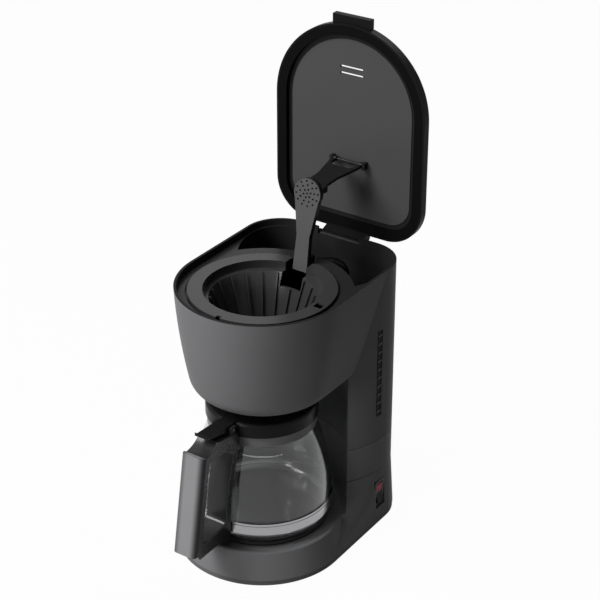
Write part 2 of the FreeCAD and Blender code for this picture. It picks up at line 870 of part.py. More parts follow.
def tank_insert():
    """Deck around the basket and the water tank behind it, one moulding."""
    body = new_body("tank_insert")
    deck_low = deck_top - dim.deck_thick
    rear = dim.rear_depth - tank_inset
    deck_half = half - dim.head_wall - 2 * dim.nest_gap
    pad_path(body, "XY", deck_low, round_front_plan(deck_half, Size.of(0), rear), dim.deck_thick)
    front = bay_radius + tank_inset
    pad_path(body, "XY", dim.tank_bottom, column_plan(tank_inset, front), deck_top - dim.tank_bottom)
    inset = tank_inset + dim.tank_wall
    cut_path(body, "XY", deck_top, column_plan(inset, front + dim.tank_wall),
             deck_top - dim.tank_bottom - dim.tank_floor)
    cut_ring(body, "XY", deck_top, [((0, 0), dim.well_radius)], dim.deck_thick)
    rim = dim.well_radius + dim.wall
    seat = [
        (dim.ledge_radius, ledge_top - dim.ledge_thick),
        (rim, ledge_top - dim.ledge_thick),
        (rim, deck_top),
        (dim.well_radius, deck_top),
        (dim.well_radius, ledge_top),
        (dim.ledge_radius, ledge_top),
    ]
    turn_path(body, seat)
    trough = box_path(-dim.trough_half, dim.trough_half, dim.ledge_radius - dim.wall,
                      front + 2 * dim.tank_wall)
    cut_path(body, "XY", deck_top, trough, deck_top - trough_floor)
    ear = box_path(ear_front, front, arm_z - 5 * dim.link_pin, arm_z + 4 * dim.link_pin)
    pad_path(body, "YZ", dim.trough_half, ear, dim.ear_thick)
    pad_path(body, "YZ", -dim.trough_half, ear, dim.ear_thick, back=True)
    cut_ring(body, "YZ", 0.0, [((dim.arm_y, arm_z), pin_bore)],
             2 * (dim.trough_half + 2 * dim.ear_thick), both=True)
    slot = box_path(dim.window_y - dim.window_width / 2, dim.window_y + dim.window_width / 2,
                    dim.window_low, dim.window_high)
    cut_path(body, "YZ", half - inset - 2 * dim.tank_wall, slot, 6 * dim.tank_wall, back=True)
    bores = [((-dim.hose_x, dim.hose_y), hose_bore), ((dim.hose_x, dim.hose_y), hose_bore)]
    cut_ring(body, "XY", dim.tank_bottom + dim.tank_floor, bores, 2 * dim.tank_floor)
    node("tank_insert", body)


# Lid, link and spray arm

def steam_slots(body, offset, length):
    for step in (-0.5, 0.5):
        middle = lid_mid + dim.slot_z + dim.slot_pitch * step
        path = box_path(-dim.slot_half, dim.slot_half, middle - dim.slot_height / 2, middle + dim.slot_height / 2)
        cut_path(body, "XZ", offset, path, length)


def lid_cover():
    body = new_body("lid_cover")
    pad_path(body, "XZ", -lid_front, lid_plan(Size.of(0)), dim.lid_depth, back=True)
    outer_y = lid_back.value
    round_edges(body, lambda edge: min(vertex.Y for vertex in edge.Vertexes) > outer_y - TOUCH, dim.lid_edge_round)
    cut_path(body, "XZ", -lid_front, lid_plan(dim.wall), dim.lid_depth - dim.wall)
    top = lid_mid + lid_half
    tab = box_path(-dim.tab_half, dim.tab_half, top - dim.wall, top + dim.tab_reach)
    pad_path(body, "XZ", -(lid_front + dim.wall), tab, dim.tab_thick, back=True)
    low = lid_mid - lid_rear
    arm = [
        (hinge_y - dim.hinge_barrel / 2, hinge_z + dim.hinge_barrel / 2),
        (hinge_y, hinge_z - dim.hinge_barrel),
        (lid_front + 2 * dim.wall, hinge_z),
        (lid_front + 3 * dim.wall, low + dim.wall / 2),
        (lid_front, low + dim.wall / 2),
    ]
    pad_path(body, "YZ", 0.0, arm, dim.knuckle_width, both=True)
    pad_ring(body, "YZ", 0.0, [((hinge_y, hinge_z), dim.hinge_barrel)], dim.knuckle_width, both=True)
    cut_ring(body, "YZ", 0.0, [((hinge_y, hinge_z), hinge_bore)], 2 * dim.knuckle_width, both=True)
    vent = lid_mid + dim.slot_z
    outlet = box_path(-dim.vent_half, dim.vent_half, vent - dim.slot_pitch / 2 - dim.vent_low,
                      vent + dim.slot_pitch / 2 + dim.vent_high)
    cut_path(body, "XZ", -lid_front, outlet, 2 * dim.lid_depth)
    node("lid_cover", body)


def lid_liner():
    body = new_body("lid_liner")
    face = lid_front + dim.liner_set
    pad_path(body, "XZ", -face, lid_plan(dim.wall + dim.running_gap), dim.liner_thick, back=True)
    pad_path(body, "XZ", -face, lid_plan(dim.panel_inset), dim.panel_rise)
    pin_y, pin_z = lid_pin_line
    lug = box_path(pin_y - dim.lug_half, face, pin_z - dim.lug_half, pin_z + dim.lug_half)
    inner = dim.link_lid_half + dim.running_gap
    pad_path(body, "YZ", inner, lug, dim.lug_thick)
    pad_path(body, "YZ", -inner, lug, dim.lug_thick, back=True)
    cut_ring(body, "YZ", 0.0, [(lid_pin_line, pin_bore)], 2 * (inner + 2 * dim.lug_thick), both=True)
    steam_slots(body, dim.panel_rise - face, 2 * (dim.panel_rise + dim.liner_thick))
    node("lid_liner", body)


def lid_seal():
    body = new_body("lid_seal")
    sketch = new_sketch(body, "XZ", -lid_front)
    draw(sketch, lid_plan(dim.wall + dim.running_gap))
    draw(sketch, lid_plan(dim.wall + dim.running_gap + dim.seal_width))
    grow(body, "Pad", sketch, dim.liner_set, back=True)
    node("lid_seal", body)


def lift_link():
    """Flat link that keeps the spray arm parallel to the lid. It slopes down from the lid to the arm."""
    body = new_body("lift_link")
    run, rise = lid_pin_line[0] - arm_pin_line[0], lid_pin_line[1] - arm_pin_line[1]
    reach = (run * run + rise * rise).root()
    wide, narrow = dim.link_lid_half, dim.link_arm_half
    right = [
        (narrow, 0),
        (narrow, reach * dim.link_waist_share),
        (wide, reach * dim.link_fork_share),
        (wide, reach),
        (wide - dim.lug_thick, reach),
        (wide - dim.lug_thick, reach * dim.link_fork_share),
        (wide - 2 * dim.lug_thick, reach * dim.link_crotch_share),
    ]
    pad_path(body, "XY", 0.0, mirrored(right), dim.link_thick, both=True)
    for place, outer, inner in (((reach, 0), wide, wide - dim.lug_thick), ((0, 0), narrow, Size.of(0))):
        span = outer - inner
        pad_ring(body, "YZ", inner, [(place, dim.link_boss)], span)
        pad_ring(body, "YZ", -inner, [(place, dim.link_boss)], span, back=True)
        cut_ring(body, "YZ", 0.0, [(place, pin_bore)], 4 * wide, both=True)
    node("lift_link", body, (0, *arm_pin_line), Vector(1, 0, 0), rise.slope(run))


def arm_outline(inset):
    """Spoon outline of the spray arm, from its foot at the pivot to its round head."""
    radius = dim.arm_head_radius - inset
    neck = dim.arm_neck_half - inset
    foot = dim.arm_foot_half - inset
    join_x = radius * dim.arm_shoulder_share
    join_z = dim.arm_head - (radius * radius - join_x * join_x).root()
    right = [
        (foot, -2 * dim.link_pin + inset),
        (neck, dim.arm_neck),
        (join_x, join_z, (0, dim.arm_head), "ccw"),
    ]
    path = mirrored(right)
    del path[3]
    path[2] = (join_x, join_z, (0, dim.arm_head), "ccw")
    path.insert(3, (-join_x, join_z))
    return path


def arm_node(name, body):
    """Stand a piece of the arm on its pivot, leaning back."""
    node(name, body, (0, dim.arm_y, arm_z), Vector(-1, 0, 0), dim.arm_lean)


def arm_pin_place():
    """The link pin in the arm's own leaning frame."""
    lean_sin, lean_cos = dim.arm_lean.sine(), dim.arm_lean.cosine()
    return (dim.crank_y * lean_cos - dim.crank_z * lean_sin, dim.crank_y * lean_sin + dim.crank_z * lean_cos)


def spray_arm():
    """Hollow arm, open at the front, where the perforated plate closes it."""
    body = new_body("spray_arm")
    open_face = dim.arm_face - dim.arm_plate
    pad_path(body, "XZ", open_face, arm_outline(Size.of(0)), open_face - dim.arm_back, back=True)
    foot = box_path(-open_face, dim.link_pin, -2 * dim.link_pin, 3 * dim.arm_foot_half / 2)
    pad_path(body, "YZ", 0.0, foot, 2 * dim.arm_foot_half, both=True)
    barrel = dim.trough_half - dim.running_gap
    pad_ring(body, "YZ", 0.0, [((0, 0), dim.arm_barrel)], 2 * barrel, both=True)
    cut_path(body, "XZ", open_face, arm_outline(dim.arm_wall), open_face - dim.arm_back - dim.arm_wall)
    pin_y, pin_z = arm_pin_place()
    lug = box_path(-dim.arm_back - dim.arm_wall / 2, pin_y + dim.lug_half, pin_z - dim.lug_half,
                   pin_z + dim.lug_half)
    inner = dim.link_arm_half + dim.running_gap
    pad_path(body, "YZ", inner, lug, dim.lug_thick)
    pad_path(body, "YZ", -inner, lug, dim.lug_thick, back=True)
    cut_ring(body, "YZ", 0.0, [((pin_y, pin_z), pin_bore)], 6 * inner, both=True)
    cut_ring(body, "YZ", 0.0, [((0, 0), pin_bore)], 4 * dim.trough_half, both=True)
    arm_node("spray_arm", body)


def spray_plate():
    """Plate that closes the arm, with spray holes on circles about its head."""
    body = new_body("spray_plate")
    pad_path(body, "XZ", dim.arm_face, arm_outline(Size.of(0)), dim.arm_plate, back=True)
    sketch = new_sketch(body, "XZ", dim.arm_face)
    ring(sketch, (0, dim.arm_head), dim.spray_hole)
    for circle in range(1, SIZES["spray_circles"] + 1):
        count = 3 * (circle + 1)
        reach = dim.spray_pitch * circle
        for step in range(count):
            angle = Size.of(360.0 * (step + 0.25) / count)
            ring(sketch, (reach * angle.cosine(), dim.arm_head + reach * angle.sine()), dim.spray_hole)
    grow(body, "Pocket", sketch, 2 * dim.arm_plate)
    arm_node("spray_plate", body)


# Filter basket and drip stop

def filter_basket():
    body = new_body("filter_basket")
    thick, top = dim.basket_wall, flange_top
    floor = dim.basket_floor
    tube = dim.nozzle_radius + thick
    bore = dim.stem_radius + dim.stem_play
    shelf = filter_ledge - thick
    profile = [
        (bore, floor),
        (dim.nozzle_radius, floor),
        (dim.nozzle_radius, dim.nozzle_bottom),
        (tube, dim.nozzle_bottom),
        (tube, floor),
        (dim.basket_floor_radius + thick, floor),
        (dim.filter_radius + thick, shelf),
        (dim.mouth_radius + thick, shelf),
        (dim.mouth_radius + thick, top - dim.flange_thick),
        (dim.flange_radius - thick, top - dim.flange_thick),
        (dim.flange_radius - thick, ledge_top + dim.running_gap),
        (dim.flange_radius, ledge_top + dim.running_gap),
        (dim.flange_radius, top),
        (dim.mouth_radius, top),
        (dim.mouth_radius, filter_ledge),
        (dim.filter_radius, filter_ledge),
        (dim.basket_floor_radius, floor + thick),
        (bore, floor + thick),
    ]
    turn_path(body, profile)
    low, high = floor + thick, filter_ledge - dim.rib_gap
    rib = [
        (dim.basket_floor_radius - dim.rib_depth, low),
        (dim.basket_floor_radius + thick / 2, low),
        (dim.filter_radius + thick / 2, high),
        (dim.filter_radius - dim.rib_depth, high),
    ]
    first = pad_path(body, "XZ", 0.0, rib, dim.rib_thick, both=True)
    polar(body, first, dim.basket_ribs)
    notch = box_path(-dim.trough_half, dim.trough_half, dim.notch_start, dim.flange_radius + thick)
    cut_path(body, "XY", top, notch, top - notch_floor)
    wide = dim.trough_half + dim.ear_thick + dim.running_gap
    clear = box_path(-wide, wide, ear_front - dim.running_gap, dim.flange_radius + thick)
    cut_path(body, "XY", top, clear, dim.filter_drop)
    finger_hole = middle_box((dim.finger_hole_x, 0), dim.finger_hole_half, dim.finger_hole_half)
    cut_path(body, "XY", top, finger_hole, 2 * dim.flange_thick)
    key = box_path(-dim.key_half, dim.key_half, -dim.flange_radius - thick, dim.key_depth - dim.flange_radius)
    cut_path(body, "XY", top, key, dim.filter_drop)
    node("filter_basket", body)


def drip_stop():
    """Plunger that the carafe lid pushes up, with the washer that shuts the basket's outlet."""
    floor = dim.basket_floor + dim.basket_wall
    plunger = new_body("drip_plunger")
    head = floor + dim.drip_washer + 2 * dim.fixed_gap
    foot = dim.nozzle_radius - dim.stem_play
    turn_path(plunger, [
        (0, dim.stem_tip),
        (foot - dim.stem_bevel, dim.stem_tip),
        (foot, dim.stem_tip + dim.stem_bevel),
        (foot, dim.stem_tip + dim.stem_foot),
        (dim.stem_radius, dim.stem_tip + dim.stem_foot),
        (dim.stem_radius, head),
        (dim.stem_head, head),
        (dim.stem_head, head + dim.stem_head_thick),
        (0, head + dim.stem_head_thick),
    ])
    node("drip_plunger", plunger)
    washer = new_body("drip_seal")
    rings = [((0, 0), dim.stem_head), ((0, 0), dim.stem_radius + dim.fixed_gap)]
    pad_ring(washer, "XY", floor + dim.fixed_gap, rings, dim.drip_washer)
    node("drip_seal", washer)


# Carafe

def glass_curve(inset):
    """Centre and radius of the glass's side arc, measured from the carafe's axis."""
    run = dim.glass_radius - dim.neck_radius
    rise = dim.neck_low - dim.shoulder_low
    radius = (run * run + rise * rise) / (2 * run)
    return dim.glass_radius - radius, radius - inset


def carafe_glass():
    body = new_body("carafe_glass")
    center, outer = glass_curve(0)
    inner = outer - dim.glass_wall
    neck = dim.neck_radius - dim.glass_wall
    neck_low = dim.shoulder_low + (inner * inner - (neck - center) * (neck - center)).root()
    bend = dim.glass_corner
    low = dim.glass_bottom
    thick = dim.glass_wall
    turn_path(body, [
        (0, low),
        (dim.glass_radius - bend, low, (dim.glass_radius - bend, low + bend), "ccw"),
        (dim.glass_radius, low + bend),
        (dim.glass_radius, dim.shoulder_low, (center, dim.shoulder_low), "ccw"),
        (dim.neck_radius, dim.neck_low),
        (dim.neck_radius, dim.neck_top),
        (neck, dim.neck_top),
        (neck, neck_low, (center, dim.shoulder_low), "cw"),
        (dim.glass_radius - thick, dim.shoulder_low),
        (dim.glass_radius - thick, low + bend, (dim.glass_radius - bend, low + bend), "cw"),
        (dim.glass_radius - bend, low + thick),
        (0, low + thick),
    ], -dim.carafe_y)
    node("carafe_glass", body)


def carafe_rings():
    """Steel band with a bead along its top edge, and the collar round the neck."""
    middle = (0, dim.carafe_y)
    band = new_body("carafe_band")
    bore = dim.glass_radius + dim.fixed_gap
    face = bore + dim.band_thick
    pad_ring(band, "XY", dim.band_low, [(middle, bore), (middle, face)], dim.band_width)
    bead_low = dim.band_low + dim.band_width - dim.bead_width
    groove = [(middle, face - dim.groove_depth), (middle, face + dim.groove_depth)]
    cut_ring(band, "XY", bead_low, groove, dim.groove_width)
    node("carafe_band", band)
    collar = new_body("carafe_collar")
    bore = dim.neck_radius + dim.fixed_gap
    pad_ring(collar, "XY", dim.neck_low + dim.collar_gap, [(middle, bore), (middle, bore + dim.collar_thick)],
             dim.neck_top - dim.neck_low - 2 * dim.collar_gap)
    node("carafe_collar", collar)


def carafe_handle():
    """D-shaped loop from the collar to the band, with the ears of the carafe lid's hinge."""
    body = new_body("carafe_handle")
    center, outer = glass_curve(0)
    middle = (dim.carafe_y - center, dim.shoulder_low)
    reach = outer + dim.handle_gap
    band_y = dim.carafe_y - dim.glass_radius - 2 * dim.fixed_gap - dim.band_thick
    collar_y = dim.carafe_y - dim.neck_radius - 2 * dim.fixed_gap - dim.collar_thick
    lid_y = dim.carafe_y - dim.carafe_lid_radius - dim.running_gap
    neck_z = dim.neck_top - dim.collar_gap
    band_top = dim.band_low + dim.band_width + dim.handle_gap
    high = dim.neck_low - dim.handle_root
    run, rise = dim.grip_top_y - dim.thumb_y, dim.thumb_z - dim.grip_top_z
    scoop = (run * run + rise * rise) / (2 * rise)
    lean = (dim.grip_low_y - dim.grip_top_y) / (dim.grip_top_z - dim.grip_low_z)
    sketch = new_sketch(body, "YZ", 0.0)
    draw(sketch, [
        (collar_y, high),
        (collar_y, neck_z),
        (lid_y, neck_z),
        (lid_y, dim.handle_shoulder),
        (-dim.thumb_y, dim.thumb_z, (-dim.grip_top_y, dim.grip_top_z + scoop), "cw"),
        (-dim.grip_top_y, dim.grip_top_z),
        (-dim.grip_low_y, dim.grip_low_z),
        (-dim.handle_foot_y, dim.handle_foot_z),
        (band_y, dim.handle_foot_z),
        (band_y, band_top),
        (bar_edge(middle, reach, band_top), band_top, middle, "cw"),
        (bar_edge(middle, reach, high), high),
    ])
    inner = reach + dim.handle_bar
    draw(sketch, [
        (bar_edge(middle, inner, dim.hole_rear_low), dim.hole_rear_low, middle, "cw"),
        (bar_edge(middle, inner, dim.hole_rear_high), dim.hole_rear_high),
        (dim.grip_bar - dim.grip_low_y + lean * (dim.hole_front_high - dim.grip_low_z), dim.hole_front_high),
        (dim.grip_bar - dim.grip_low_y + lean * (dim.hole_front_low - dim.grip_low_z), dim.hole_front_low),
    ])
    grow(body, "Pad", sketch, dim.handle_width, both=True)
    hub = Vector(0, middle[0].value, middle[1].value)
    bar, roof = inner.value - TOUCH, dim.handle_shoulder.value - dim.handle_root.value

    def hole_corner(edge):
        place = edge.CenterOfMass
        across = abs(edge.Vertexes[0].X - edge.Vertexes[-1].X) > dim.handle_bar.value
        behind_grip = place.y > lean.value * (place.z - dim.grip_low_z.value) - dim.grip_low_y.value + TOUCH
        return across and behind_grip and (place - hub).Length > bar and dim.grip_low_z.value < place.z < roof

    round_edges(body, hole_corner, dim.hole_round)
    side = dim.handle_width.value / 2 - TOUCH
    round_edges(body, lambda edge: abs(edge.CenterOfMass.x) > side, dim.handle_edge)
    ears = box_path(dim.lid_pin_y - dim.lever_hub, dim.lid_pin_y + dim.lever_hub, dim.grip_top_z,
                    dim.lid_pin_z + dim.lug_thick)
    for sign, back in ((1, False), (-1, True)):
        pad_path(body, "YZ", sign * (dim.lever_half + dim.running_gap), ears, dim.lug_thick, back)
    cut_ring(body, "YZ", 0.0, [((dim.lid_pin_y, dim.lid_pin_z), lid_pin_bore)], 2 * dim.handle_width, both=True)
    node("carafe_handle", body)


def bar_edge(middle, reach, height):
    """Where a circle about middle crosses a height, on the handle's side of the glass."""
    rise = height - middle[1]
    return middle[0] - (reach * reach - rise * rise).root()


def handle_grip():
    """Rounded grip clipped on the front of the handle."""
    grip = new_body("handle_grip")
    seat = 2 * dim.fixed_gap
    pad_path(grip, "YZ", 0.0, [
        (-dim.grip_top_y - seat, dim.grip_top_z),
        (-dim.grip_top_y - dim.grip_thick, dim.grip_top_z + dim.grip_slant),
        (-dim.handle_reach, dim.grip_low_z),
        (-dim.grip_low_y - seat, dim.grip_low_z),
    ], dim.grip_width, both=True)
    front = TOUCH - dim.handle_reach.value
    long = dim.glass_radius.value
    round_edges(grip, lambda edge: edge.Length > long and min(vertex.Y for vertex in edge.Vertexes) < front,
                dim.grip_round)
    node("handle_grip", grip)


def carafe_lid():
    """Lid with a dished middle, a plug inside the neck and a thumb lever over the handle."""
    body = new_body("carafe_lid")
    low = dim.neck_top + dim.running_gap
    top, bend = dim.carafe_lid_top, dim.carafe_lid_round
    plug = dim.neck_radius - dim.glass_wall - dim.plug_gap
    turn_path(body, [
        (0, top - dim.carafe_lid_thick),
        (plug - dim.plug_wall, top - dim.carafe_lid_thick),
        (plug - dim.plug_wall, low - dim.plug_depth),
        (plug, low - dim.plug_depth),
        (plug, low),
        (dim.carafe_lid_radius, low),
        (dim.carafe_lid_radius, top - bend, (dim.carafe_lid_radius - bend, top - bend), "ccw"),
        (dim.carafe_lid_radius - bend, top),
        (dim.dish_radius, top),
        (dim.dish_radius - 2 * dim.dish_depth, top - dim.dish_depth),
        (0, top - dim.dish_depth),
    ], -dim.carafe_y)
    root_y = dim.carafe_y - dim.carafe_lid_radius + dim.lever_root
    lever = [
        (root_y, top - dim.lever_thick),
        (root_y, top),
        (dim.lid_pin_y, top + dim.lever_rise),
        (dim.lever_lip - dim.lever_reach, dim.lever_top - dim.lever_lip),
        (-dim.lever_reach, dim.lever_top),
        (-dim.lever_reach, dim.lever_top - dim.lever_tip_thick),
        (-dim.thumb_y, dim.lever_under),
        (dim.lid_pin_y - dim.lever_hub, dim.lid_pin_z - dim.lid_pin),
        (dim.lid_pin_y + dim.lever_hub / 2, dim.lid_pin_z - 2 * dim.lid_pin),
    ]
    pad_path(body, "YZ", 0.0, lever, 2 * dim.lever_half, both=True)
    cut_ring(body, "YZ", 0.0, [((dim.lid_pin_y, dim.lid_pin_z), lid_pin_bore)], 4 * dim.lever_half, both=True)
    node("carafe_lid", body)


# Switch and level window

def switch():
    """Rocker switch and its frame in the right-hand side of the base."""
    middle = (dim.switch_y, dim.switch_z)
    wide, tall = dim.switch_width / 2, dim.switch_height / 2
    frame = new_body("switch_frame")
    window = middle_box(middle, wide - dim.switch_wall, tall - dim.switch_wall)
    bezel = middle_box(middle, wide + dim.switch_lip, tall + dim.switch_lip)
    sleeve = middle_box(middle, wide - dim.fixed_gap, tall - dim.fixed_gap)
    pad_frame(frame, "YZ", switch_face, bezel, window, dim.bezel_thick)
    pad_frame(frame, "YZ", switch_face, sleeve, window, dim.sleeve_depth, back=True)
    pivot = (rocker_x, dim.switch_z)
    cut_ring(frame, "XZ", -dim.switch_y, [(pivot, dim.trunnion + dim.pin_gap)], 4 * dim.switch_width, both=True)
    node("switch_frame", frame)
    rocker = new_body("switch_rocker")
    reach = tall - dim.switch_wall - dim.running_gap
    angles = (dim.rocker_tilt - dim.rocker_spread, dim.rocker_tilt + dim.rocker_spread,
              180 - dim.rocker_back, 180 + dim.rocker_back)
    low, top, back_top, back_low = [(pivot[0] + reach * angle.cosine(), pivot[1] + reach * angle.sine())
                                    for angle in angles]
    dip = reach * dim.rocker_spread.cosine() * dim.rocker_dip
    fold = (pivot[0] + dip * dim.rocker_tilt.cosine(), pivot[1] + dip * dim.rocker_tilt.sine())
    outline = [low, fold, top + (pivot, "ccw"), back_top, back_low + (pivot, "ccw")]
    pad_path(rocker, "XZ", -dim.switch_y, outline, 2 * (wide - dim.switch_wall - dim.running_gap), both=True)
    pad_ring(rocker, "XZ", -dim.switch_y, [(pivot, dim.trunnion)], 2 * (wide - 2 * dim.fixed_gap), both=True)
    node("switch_rocker", rocker)


def level_window():
    body = new_body("level_window")
    inner = half - tank_inset - dim.tank_wall - dim.window_set
    edge = dim.window_width / 2 - dim.fixed_gap
    low, high = dim.window_low + dim.fixed_gap, dim.window_high - dim.fixed_gap
    pad_path(body, "YZ", inner, box_path(dim.window_y - edge, dim.window_y + edge, low, high), dim.window_depth)
    first = low + dim.scale_margin
    mark = box_path(dim.window_y - dim.mark_half, dim.window_y + dim.mark_half, first, first + dim.mark_height)
    rib = pad_path(body, "YZ", inner + dim.window_depth, mark, dim.mark_rise)
    marks = body.newObject("PartDesign::LinearPattern", "window_scale")
    marks.Originals = [rib]
    marks.Direction = (next(item for item in body.Origin.OriginFeatures if item.Role == "Z_Axis"), [""])
    bind(marks, "Length", high - low - 2 * dim.scale_margin - dim.mark_height)
    bind(marks, "Occurrences", dim.window_marks)
    body.Tip = marks
    node("level_window", body)


# Heater and water path

def heater():
    middle = (0, dim.carafe_y)
    plate = new_body("hot_plate")
    bevel = dim.plate_thick / 2
    turn_path(plate, [
        (0, plate_bottom),
        (dim.plate_radius, plate_bottom),
        (dim.plate_radius, dim.plate_top - bevel),
        (dim.plate_radius - bevel, dim.plate_top),
        (0, dim.plate_top),
    ], -dim.carafe_y)
    node("hot_plate", plate)
    seal = new_body("plate_seal")
    floor = dim.base_top - dim.recess_depth
    pad_ring(seal, "XY", floor, [(middle, dim.plate_radius), (middle, dim.plate_hole + dim.plate_seal_inset)], plate_bottom - floor)
    node("plate_seal", seal)
    element = new_body("heating_element")
    sketch = new_sketch(element, "YZ")
    bind(sketch, "AttachmentOffset.Base.x", dim.carafe_y)
    draw(sketch, box_path(-dim.element_radius - dim.element_width / 2, -dim.element_radius + dim.element_width / 2,
                          element_bottom, plate_bottom))
    turned = element.newObject("PartDesign::Revolution", "element_ring")
    turned.Profile = sketch
    turned.ReferenceAxis = (sketch, ["V_Axis"])
    turned.Midplane = True
    bind(turned, "Angle", dim.element_sweep)
    root = dim.element_radius - dim.element_width / 2
    stubs = [(-dim.hose_x, stub_z), (dim.hose_x, stub_z)]
    pad_ring(element, "XZ", -root, [(place, dim.stub_radius) for place in stubs], dim.stub_tip - root, back=True)
    cut_ring(element, "XZ", -dim.stub_tip, [(place, dim.stub_bore) for place in stubs], dim.stub_tip - root, back=True)
    node("heating_element", element)


def heater_mount():
    bracket = new_body("element_bracket")
    low = element_bottom - dim.bracket_thick
    strap = middle_box((0, dim.carafe_y), dim.bracket_x + dim.screw_boss, dim.bracket_width / 2)
    pad_path(bracket, "XY", low, strap, dim.bracket_thick)
    cut_ring(bracket, "XY", element_bottom, [(place, dim.screw_radius + dim.fixed_gap) for place in bracket_places()],
             2 * dim.bracket_thick)
    node("element_bracket", bracket)
    screws = new_body("bracket_screws")
    pad_ring(screws, "XY", low, [(place, dim.screw_head) for place in bracket_places()], dim.screw_head_depth,
             back=True)
    pad_ring(screws, "XY", low, [(place, dim.screw_radius) for place in bracket_places()],
             dim.base_roof - low - dim.running_gap)
    node("bracket_screws", screws)
    thermostat = new_body("thermostat")
    pad_ring(thermostat, "XY", low, [((-dim.element_radius, dim.carafe_y), dim.thermostat_radius)],
             dim.thermostat_height, back=True)
    node("thermostat", thermostat)
    fuses = new_body("thermal_fuses")
    row = low - dim.fuse_radius - dim.fixed_gap
    pad_ring(fuses, "XZ", -dim.carafe_y, [((x, row), dim.fuse_radius) for x in (-dim.fuse_x, dim.fuse_x)],
             dim.fuse_length, both=True)
    node("thermal_fuses", fuses)


def water_path():
    for name, x in (("inlet_hose", -dim.hose_x), ("riser_hose", dim.hose_x)):
        hose = new_body(name)
        turn = (dim.hose_y - dim.hose_bend, stub_z + dim.hose_bend)
        pipe(hose, "YZ", x, [
            (dim.hose_start, stub_z),
            (turn[0], stub_z, turn, "ccw"),
            (dim.hose_y, turn[1]),
            (dim.hose_y, dim.hose_top),
        ], hose_bore, hose_outer)
        node(name, hose)
    clamps = new_body("hose_clamps")
    bore = hose_outer + dim.fixed_gap
    for x in (-dim.hose_x, dim.hose_x):
        level, upright = (x, stub_z), (x, dim.hose_y)
        pad_ring(clamps, "XZ", -(dim.hose_start + dim.clamp_set), [(level, bore), (level, bore + dim.clamp_thick)],
                 dim.clamp_width, back=True)
        pad_ring(clamps, "XY", dim.hose_top - dim.clamp_set, [(upright, bore), (upright, bore + dim.clamp_thick)],
                 dim.clamp_width, back=True)
    node("hose_clamps", clamps)
    floor = dim.tank_bottom + dim.tank_floor
    valve = new_body("tank_outlet")
    turn_path(valve, [
        (dim.stub_bore, dim.spigot_bottom),
        (dim.stub_radius, dim.spigot_bottom),
        (dim.stub_radius, floor),
        (dim.spigot_flange, floor),
        (dim.spigot_flange, floor + dim.flange_height),
        (dim.stub_bore, floor + dim.flange_height),
    ])
    node("tank_outlet", valve, (-dim.hose_x, dim.hose_y, 0))
    riser = new_body("riser_tube")
    turn = riser_top - dim.hose_bend
    pipe(riser, "XZ", 0.0, [
        (0, dim.spigot_bottom),
        (0, turn, (dim.hose_bend, turn), "cw"),
        (dim.hose_bend, riser_top),
        (dim.riser_reach, riser_top),
    ], dim.stub_bore, dim.stub_radius)
    node("riser_tube", riser, (dim.hose_x, dim.hose_y, 0), Vector(0, 0, 1), dim.riser_turn)
    grommet = new_body("riser_grommet")
    middle = (dim.hose_x, dim.hose_y)
    pad_ring(grommet, "XY", floor, [(middle, hose_bore), (middle, dim.spigot_flange)], dim.flange_height)
    node("riser_grommet", grommet)


def cord_inlet():
    body = new_body("cord_inlet")
    middle = (dim.cord_x, dim.cord_z)
    face = base_rear + dim.fixed_gap
    inner = dim.rear_depth - 3 * dim.wall
    pad_ring(body, "XZ", -inner, [(middle, dim.gland_radius), (middle, dim.cord_bore)], face - inner, back=True)
    pad_ring(body, "XZ", -face, [(middle, dim.gland_flange), (middle, dim.cord_bore)], dim.wall, back=True)
    node("cord_inlet", body)


def pins():
    rod("lid_hinge_pin", (hinge_y, hinge_z), dim.hinge_pin,
        dim.knuckle_width + 2 * (dim.running_gap + dim.hinge_ear))
    rod("arm_pivot_pin", (dim.arm_y, arm_z), dim.link_pin, 2 * (dim.trough_half + dim.ear_thick))
    rod("lid_link_pin", lid_pin_line, dim.link_pin, 2 * (dim.link_lid_half + dim.running_gap + dim.lug_thick))
    rod("arm_link_pin", arm_pin_line, dim.link_pin, 2 * (dim.link_arm_half + dim.running_gap + dim.lug_thick))
    rod("carafe_lid_pin", (dim.lid_pin_y, dim.lid_pin_z), dim.lid_pin,
        2 * (dim.lever_half + dim.running_gap + dim.lug_thick))


def build():
    upper_housing()
    lower_housing()
    bottom_tray()
    rubber_feet()
    tank_insert()
    lid_cover()
    lid_liner()
    lid_seal()
    lift_link()
    spray_arm()
    spray_plate()
    filter_basket()
    drip_stop()
    carafe_glass()
    carafe_rings()
    carafe_handle()
    handle_grip()
    carafe_lid()
    switch()
    level_window()
    heater()
    heater_mount()
    water_path()
    cord_inlet()
    pins()


build()
doc.recompute()
for item in doc.Objects:
    if "Invalid" in item.State or "Error" in item.State:
        raise RuntimeError(f"{item.Name} could not be computed")
for name, thing in nodes.items():
    if thing.Shape.isNull() or not thing.Shape.isValid():
        raise RuntimeError(f"{name} has no sound shape")

os.makedirs("parts", exist_ok=True)
for name, thing in nodes.items():
    thing.Shape.exportStep(f"parts/{name}.step")
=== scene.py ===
import math

import bpy
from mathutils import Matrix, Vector

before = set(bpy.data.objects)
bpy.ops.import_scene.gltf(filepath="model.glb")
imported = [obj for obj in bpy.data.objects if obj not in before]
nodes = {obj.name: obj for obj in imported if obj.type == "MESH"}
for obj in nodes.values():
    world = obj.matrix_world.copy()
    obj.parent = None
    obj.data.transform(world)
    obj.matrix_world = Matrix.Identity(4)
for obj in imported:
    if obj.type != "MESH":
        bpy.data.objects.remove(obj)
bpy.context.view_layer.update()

# The photographer's camera, fitted to the machine's edges, in metres and degrees
AIM = Vector((0.0, 0.053, 0.2529))
AZIMUTH = 34.18
ELEVATION = 28.37
DISTANCE = 1.7572
LENS = 103.0
SENSOR = 36.0

# Where colours, and the painted shade on the grip, change on a moulding, in metres unless it is a share

# How far the bars of the level scale stand proud of the window
BAR_RISE = 0.0004

